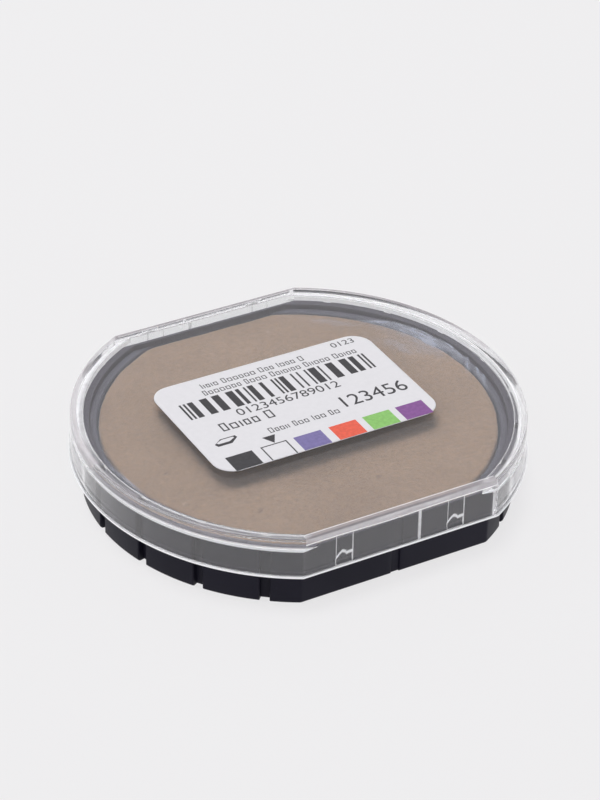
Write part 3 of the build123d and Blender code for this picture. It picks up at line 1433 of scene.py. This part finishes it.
        rings = [Ring(Outline(cavity.radius + bend, cavity.half_width + bend, self.corner),
                      self.mouth)]
        low, high = self.mouth + 2.2 * MM, self.ledge_bottom
        heights = np.concatenate([np.linspace(self.mouth + bend, low, 36),
                                  np.linspace(low + 2 * bend, high - 4 * bend, 4)])
        rings += [wall_ring(height) for height in heights]
        line = high - self.seat_line * seat
        rings += [wall_ring(line - 0.03 * MM), wall_ring(line, 1.0), wall_ring(high, 1.0),
                  wall_ring(high, ends, self.ledge_radius + 3 * bend)]
        rings += [wall_ring(height, ends, self.ledge_radius)
                  for height in (high, high + bend, straight)]
        last = np.where(on_flat, self.relief(along, straight), 0)
        start, finish = self.ceiling_turn
        for angle in quarter_turn(7)[1:]:
            inset = self.ceiling_edge * (1 - math.cos(angle))
            shape = Outline(cavity.radius - inset, cavity.half_width - inset,
                            max(self.corner - inset, 2 * bend))
            height = straight + self.ceiling_edge * math.sin(angle) - 0.5 * sink * math.cos(angle)
            scuff_and_highlight = np.where(by_ledge, self.front_ledge, self.ceiling_scuff_and_glow)
            rings.append(Ring(shape, height, last * math.cos(angle),
                              self.ledge_radius - 0.3 * inset,
                              scuff_and_highlight * (start < angle < finish)))
        for extra in (0.06 * MM, 0.4 * MM, 3.0 * MM):
            inset = self.ceiling_edge + extra
            shape = Outline(cavity.radius - inset, cavity.half_width - inset, 2 * bend)
            rings.append(Ring(shape, ceiling, within=self.ledge_radius - bend - extra))
        return rings

    def build(self) -> bpy.types.Object:
        """Loft the cover from the middle of its top, down the wall, and up inside.

        The plate sinks a little over each flat, by a bell about a place just off its middle: the
        sink times e to the power of minus the square of the distance over the width.

        Returns:
            The cover.
        """
        stations = self.stations()
        on_flat = stations.flat_mask()
        points = self.cavity.points(stations)
        along = points[:, 0] * np.where(points[:, 1] < 0, 1.0, -1.0)
        away = (along - self.sink_place) / self.sink_width
        sink = self.sink * on_flat * np.exp(-away**2)
        outer = self.outer_rings(points, on_flat, sink)
        inner = self.inner_rings(points, along, on_flat, sink)
        cover = lofted_shell("clear_cover", outer + inner, stations)
        cover.data.materials.append(ClearPolystyrene().build())
        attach(cover, Body.COVER.value)
        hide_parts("cover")
        LOG.info("cover: %d faces", len(cover.data.polygons))
        return cover


# ---------------------------------------------------------------------------- label
@dataclass
class PaperLabel:
    """The label on the cover, with a made-up bar code, greeked text, an icon and ink swatches.

    Places are in metres from the label's own middle, and all print lies just above the paper.
    """

    corner: float = 2.4 * MM
    cut_edge: float = 0.01 * MM
    lifted: float = 0.012 * MM
    print_height: float = 0.004 * MM
    print_margin: float = 0.02 * MM
    line: float = 0.16 * MM
    swatch_top: float = -6.3 * MM
    bar_low: float = 1.85 * MM
    bar_high: float = 5.05 * MM
    bar_start: float = -11.9 * MM
    bar_end: float = 11.85 * MM
    modules: int = 95
    low: Vector = field(init=False)
    high: Vector = field(init=False)

    def __post_init__(self) -> None:
        """Read the label's place from the frame."""
        self.low, self.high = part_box("cover_label")

    @property
    def middle(self) -> Vector:
        """The middle of the label's top."""
        return Vector(((self.low.x + self.high.x) / 2, (self.low.y + self.high.y) / 2, self.high.z))

    def paper(self) -> bpy.types.Object:
        """The paper: a rectangle with quarter-round corners, just clear of the cover.

        Returns:
            The paper, as one closed piece.
        """
        half_x = (self.high.x - self.low.x) / 2
        half_y = (self.high.y - self.low.y) / 2
        turn = np.linspace(0, math.pi / 2, 17)
        signs = ((1, 1, 0), (-1, 1, 1), (-1, -1, 2), (1, -1, 3))

        def loop(inset: float) -> np.ndarray:
            """The rectangle's outline, each corner a quarter of a circle.

            Args:
                inset: How far it is moved inwards.

            Returns:
                Rows of x and y.
            """
            radius = self.corner - inset
            return np.concatenate([
                np.stack([sx * (half_x - self.corner) + radius * np.cos(turn + k * math.pi / 2),
                          sy * (half_y - self.corner) + radius * np.sin(turn + k * math.pi / 2)], 1)
                for sx, sy, k in signs])

        rows = []
        foot = self.low.z + self.lifted
        for inset, height in ((0.3 * MM, foot), (0.0, foot), (0.0, self.high.z - self.cut_edge),
                              (1.5 * self.cut_edge, self.high.z), (0.3 * MM, self.high.z)):
            flat = loop(inset)
            rows.append(np.column_stack([flat, np.full(len(flat), height)]))
        count = len(rows[0])
        points = np.concatenate(rows) + np.array([self.middle.x, self.middle.y, 0])
        paper = mesh_piece("paper_label", points, capped_grid(len(rows), count))
        paper.data.materials.append(LabelPaper().build())
        return paper

    def bars(self) -> list[tuple[float, float, float, float]]:
        """The bars of a made-up code: random widths of one to four modules, in two halves.

        Returns:
            Rectangles as left, bottom, right, top.
        """
        module = (self.bar_end - self.bar_start) / self.modules
        random = np.random.default_rng(4)
        bars, place = [], self.bar_start

        def guard() -> None:
            """Add two thin bars."""
            nonlocal place
            for _ in range(2):
                bars.append((place, self.bar_low, place + module, self.bar_high))
                place += 2 * module

        for half in range(2):
            guard()
            finish = self.bar_start + module * (45 if half == 0 else 90)
            while place < finish - 3 * module:
                wide = random.choice((1, 1, 2, 3, 4))
                bars.append((place, self.bar_low, place + wide * module * 0.92, self.bar_high))
                place += (wide + random.choice((1, 1, 2, 3))) * module
            place = finish + module
        guard()
        return bars

    def greeked(self, start: float, end: float, base: float, height: float,
                seed: int) -> list[tuple[float, float, float, float]]:
        """Text stood in for by rows of small empty boxes and upright strokes, of random lengths.

        Args:
            start: Where the line starts.
            end: Where it ends.
            base: Its base line.
            height: The height of its letters.
            seed: Which random words.

        Returns:
            Rectangles as left, bottom, right, top.
        """
        random = np.random.default_rng(seed)
        strokes, place, letter = [], start, 0
        word = int(random.integers(3, 8))
        thick = height * 0.12
        while place < end - height * 0.6:
            tall = base + height * (1.0 if letter == 0 else 0.72)
            wide = height * float(random.choice((0.46, 0.52, 0.58)))
            strokes.append((place, base, place + thick, tall))
            if random.random() < 0.8:
                strokes += [(place + wide - thick, base, place + wide, tall),
                            (place + thick, base, place + wide - thick, base + thick),
                            (place + thick, tall - thick, place + wide - thick, tall)]
            else:
                wide = thick
            place += wide + height * 0.2
            letter += 1
            if letter >= word:
                letter, word = 0, int(random.integers(3, 8))
                place += height * 0.4
        return strokes

    def digits(self, text: str, left: float, base: float, height: float,
               width: float) -> tuple[np.ndarray, list]:
        """Plain counting digits as flat faces, fitted to a height and a width.

        Args:
            text: The digits.
            left: Where they start.
            base: Their base line.
            height: Their height.
            width: The width of the whole row.

        Returns:
            The points and the faces.
        """
        curve = bpy.data.curves.new("digits", "FONT")
        curve.body = text
        holder = bpy.data.objects.new("digits", curve)
        bpy.context.scene.collection.objects.link(holder)
        bpy.context.view_layer.update()
        mesh = bpy.data.meshes.new_from_object(
            holder.evaluated_get(bpy.context.evaluated_depsgraph_get()))
        points = np.empty(len(mesh.vertices) * 3)
        mesh.vertices.foreach_get("co", points)
        points = points.reshape(-1, 3)
        faces = [tuple(polygon.vertices) for polygon in mesh.polygons]
        low, high = points.min(0), points.max(0)
        points = (points - low) / np.maximum(high - low, 1e-9) * np.array([width, height, 0])
        points += np.array([left, base, 0])
        bpy.data.objects.remove(holder)
        bpy.data.meshes.remove(mesh)
        return points, faces

    def printing(self) -> bpy.types.Object:
        """All the print as flat faces in one piece, one material for each ink.

        Returns:
            The print.
        """
        points: list[np.ndarray] = []
        faces: list[tuple[int, ...]] = []
        inks: list[int] = []
        order = [finish.ink for finish in INKS]

        def add(shape: np.ndarray, face_list: list, ink: Ink) -> None:
            """Add one printed shape.

            Args:
                shape: Its points, as rows of x and y.
                face_list: Its faces, by the numbers of its own points.
                ink: What it is printed with.
            """
            start = sum(len(p) for p in points)
            points.append(np.column_stack([shape[:, :2], np.zeros(len(shape))]))
            faces.extend(tuple(start + i for i in f) for f in face_list)
            inks.extend([order.index(ink)] * len(face_list))

        def box(left: float, low: float, right: float, high: float, ink: Ink) -> None:
            """Add a rectangle."""
            add(np.array([(left, low), (right, low), (right, high), (left, high)]),
                [(0, 1, 2, 3)], ink)

        for bar in self.bars():
            box(*bar, Ink.BLACK)
        for start, end, base, height, seed in (
                (-7.9 * MM, 5.5 * MM, 6.85 * MM, 0.95 * MM, 1),
                (-8.3 * MM, 11.4 * MM, 5.5 * MM, 0.95 * MM, 2),
                (-9.8 * MM, -2.2 * MM, -1.75 * MM, 1.55 * MM, 6),
                (-5.4 * MM, 3.5 * MM, -4.35 * MM, 0.95 * MM, 9)):
            for stroke in self.greeked(start, end, base, height, seed):
                box(*stroke, Ink.BLACK)
        for text, left, base, height, width in (
                ("0123", 9.2 * MM, 7.55 * MM, 0.95 * MM, 2.9 * MM),
                ("0123456789012", -6.8 * MM, 0.2 * MM, 1.3 * MM, 12.9 * MM),
                ("123456", 4.5 * MM, -3.75 * MM, 2.1 * MM, 8.1 * MM)):
            add(*self.digits(text, left, base, height, width), Ink.BLACK)
        self.add_icon(add)
        add(np.array([(-6.75, -4.75), (-5.15, -4.75), (-5.95, -6.2)]) * MM, [(0, 1, 2)], Ink.BLACK)
        foot = -(self.high.y - self.low.y) / 2 + self.print_margin
        swatches = ((-12.1, -8.85, Ink.BLACK), (-3.75, -0.35, Ink.VIOLET), (0.65, 4.05, Ink.RED),
                    (4.9, 8.3, Ink.GREEN), (9.1, 12.5, Ink.PURPLE))
        for left, right, ink in swatches:
            box(left * MM, foot, right * MM, self.swatch_top, ink)
        line, left, right = self.line, -7.8 * MM, -4.6 * MM
        box(left, self.swatch_top - line, right, self.swatch_top, Ink.BLACK)
        box(left, foot, left + line, self.swatch_top, Ink.BLACK)
        box(right - line, foot, right, self.swatch_top, Ink.BLACK)
        where = np.array([self.middle.x, self.middle.y, self.middle.z + self.print_height])
        mesh = bpy.data.meshes.new("label_print")
        mesh.from_pydata((np.concatenate(points) + where).tolist(), [], faces)
        mesh.polygons.foreach_set("material_index", np.array(inks, np.int32))
        for finish in INKS:
            mesh.materials.append(finish.build())
        mesh.update()
        piece = bpy.data.objects.new("label_print", mesh)
        bpy.context.scene.collection.objects.link(piece)
        return piece

    def add_icon(self, add: Callable[[np.ndarray, list, Ink], None]) -> None:
        """A small pad icon: a slanted rounded outline with a thicker front edge.

        Args:
            add: Takes the points, the faces and the ink of a printed shape.
        """
        ring = np.array([(-11.9, -3.6), (-10.9, -2.9), (-9.1, -2.9), (-9.0, -3.3), (-10.0, -4.1),
                         (-11.7, -4.1)])
        centre = ring.mean(0)
        inner = centre + (ring - centre) * np.array([0.78, 0.52]) + np.array([-0.02, 0.14])
        count = len(ring)
        faces = [(k, (k + 1) % count, count + (k + 1) % count, count + k) for k in range(count)]
        add(np.concatenate([ring, inner]) * MM, faces, Ink.BLACK)

    def build(self) -> None:
        """Make the paper and its print, both on the cover."""
        paper, printing = self.paper(), self.printing()
        for piece in (paper, printing):
            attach(piece, Body.COVER.value)
        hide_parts("cover_label")
        LOG.info("label: %d printed faces", len(printing.data.polygons))


# ---------------------------------------------------------------------------- stage
@dataclass(frozen=True)
class Stage:
    """The pale floor, the soft light and the camera.

    The sky's stops are pairs of the upward part of a direction and the brightness there. A lamp
    has a name, a place, a size in metres and a power in watts.
    """

    floor_size: float = 4.0
    floor_colour: Colour = (0.14, 0.14, 0.14)
    floor_glow: Colour = (0.726, 0.720, 0.729)
    sky: tuple[tuple[float, float], ...] = (
        (0.0, 0.72), (0.35, 0.62), (0.6, 0.62), (0.75, 0.45), (1.0, 0.35))
    sky_tint: Colour = (0.99, 0.98, 1.0)
    lamps: tuple[tuple[str, Place, float, float], ...] = (
        ("overhead", (-0.04, 0.17, 0.78), 0.26, 2.85),
        ("left", (-0.75, 0.15, 0.45), 0.40, 0.4))
    look_at: Place = (7.436 * MM, 12.684 * MM, 0.0)
    azimuth: float = math.radians(-30.0)
    elevation: float = math.radians(33.29)
    distance: float = 317.73 * MM
    roll: float = math.radians(1.327)
    lens: float = 122.31
    sensor: float = 36.0
    bounces: int = 32
    see_through_bounces: int = 16

    def build_floor(self) -> None:
        """A wide plane that glows a little, so that it is pale with hardly a shadow."""
        half = self.floor_size / 2
        mesh = bpy.data.meshes.new("floor")
        mesh.from_pydata([(-half, -half, 0), (half, -half, 0), (half, half, 0), (-half, half, 0)],
                         [], [(0, 1, 2, 3)])
        floor = bpy.data.objects.new("floor", mesh)
        bpy.context.scene.collection.objects.link(floor)
        material, _, shader = new_material("pale_floor")
        shader.inputs["Base Color"].default_value = (*self.floor_colour, 1)
        shader.inputs["Roughness"].default_value = 0.9
        shader.inputs["Specular IOR Level"].default_value = 0.1
        shader.inputs["Emission Color"].default_value = (*self.floor_glow, 1)
        shader.inputs["Emission Strength"].default_value = 1.0
        mesh.materials.append(material)

    def build_light(self) -> None:
        """A sky that dims upwards, a broad lamp overhead and a weaker one from the left.

        No lamp is mirrored straight from a glossy face.
        """
        world = bpy.data.worlds.new("studio")
        bpy.context.scene.world = world
        world.use_nodes = True
        tree = world.node_tree
        background = tree.nodes["Background"]
        direction = tree.nodes.new("ShaderNodeTexCoord")
        parts = tree.nodes.new("ShaderNodeSeparateXYZ")
        tree.links.new(direction.outputs["Generated"], parts.inputs["Vector"])
        stops = tuple((up, tuple(level * part for part in self.sky_tint)) for up, level in self.sky)
        tree.links.new(ramp(tree, parts.outputs["Z"], stops), background.inputs["Color"])
        background.inputs["Strength"].default_value = 1.0
        for name, place, size, power in self.lamps:
            lamp = bpy.data.lights.new(name, "AREA")
            lamp.size = size
            lamp.energy = power
            holder = bpy.data.objects.new(name, lamp)
            holder.location = place
            holder.visible_glossy = False
            holder.rotation_euler = (-Vector(place)).to_track_quat("-Z", "Y").to_euler()
            bpy.context.scene.collection.objects.link(holder)

    def build_camera(self) -> None:
        """The camera on its line of sight, turned about it by the roll."""
        back = Vector((math.sin(self.azimuth) * math.cos(self.elevation),
                       -math.cos(self.azimuth) * math.cos(self.elevation),
                       math.sin(self.elevation)))
        level = Vector((0, 0, 1)).cross(back).normalized()
        above = back.cross(level)
        right = math.cos(self.roll) * level + math.sin(self.roll) * above
        up = math.cos(self.roll) * above - math.sin(self.roll) * level
        data = bpy.data.cameras.new("camera")
        data.lens = self.lens
        data.sensor_width = self.sensor
        data.clip_start = 0.01
        camera = bpy.data.objects.new("camera", data)
        turn = Matrix((right, up, back)).transposed().to_4x4()
        camera.matrix_world = Matrix.Translation(Vector(self.look_at) + self.distance * back) @ turn
        bpy.context.scene.collection.objects.link(camera)
        bpy.context.scene.camera = camera

    def build(self) -> None:
        """Make the whole stage, and show colours as they are."""
        self.build_floor()
        self.build_light()
        self.build_camera()
        scene = bpy.context.scene
        scene.view_settings.view_transform = "Standard"
        scene.cycles.max_bounces = self.bounces
        scene.cycles.transmission_bounces = self.bounces
        scene.cycles.glossy_bounces = self.bounces
        scene.cycles.transparent_max_bounces = self.see_through_bounces


def main() -> None:
    """Build every piece in order."""
    logging.basicConfig(level=logging.INFO)
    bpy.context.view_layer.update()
    Stage().build()
    BaseTray().build()
    FeltPad().build()
    SeparatorFilm().build()
    ClearCover().build()
    PaperLabel().build()
    bpy.context.view_layer.update()


if __name__ == "__main__":
    main()
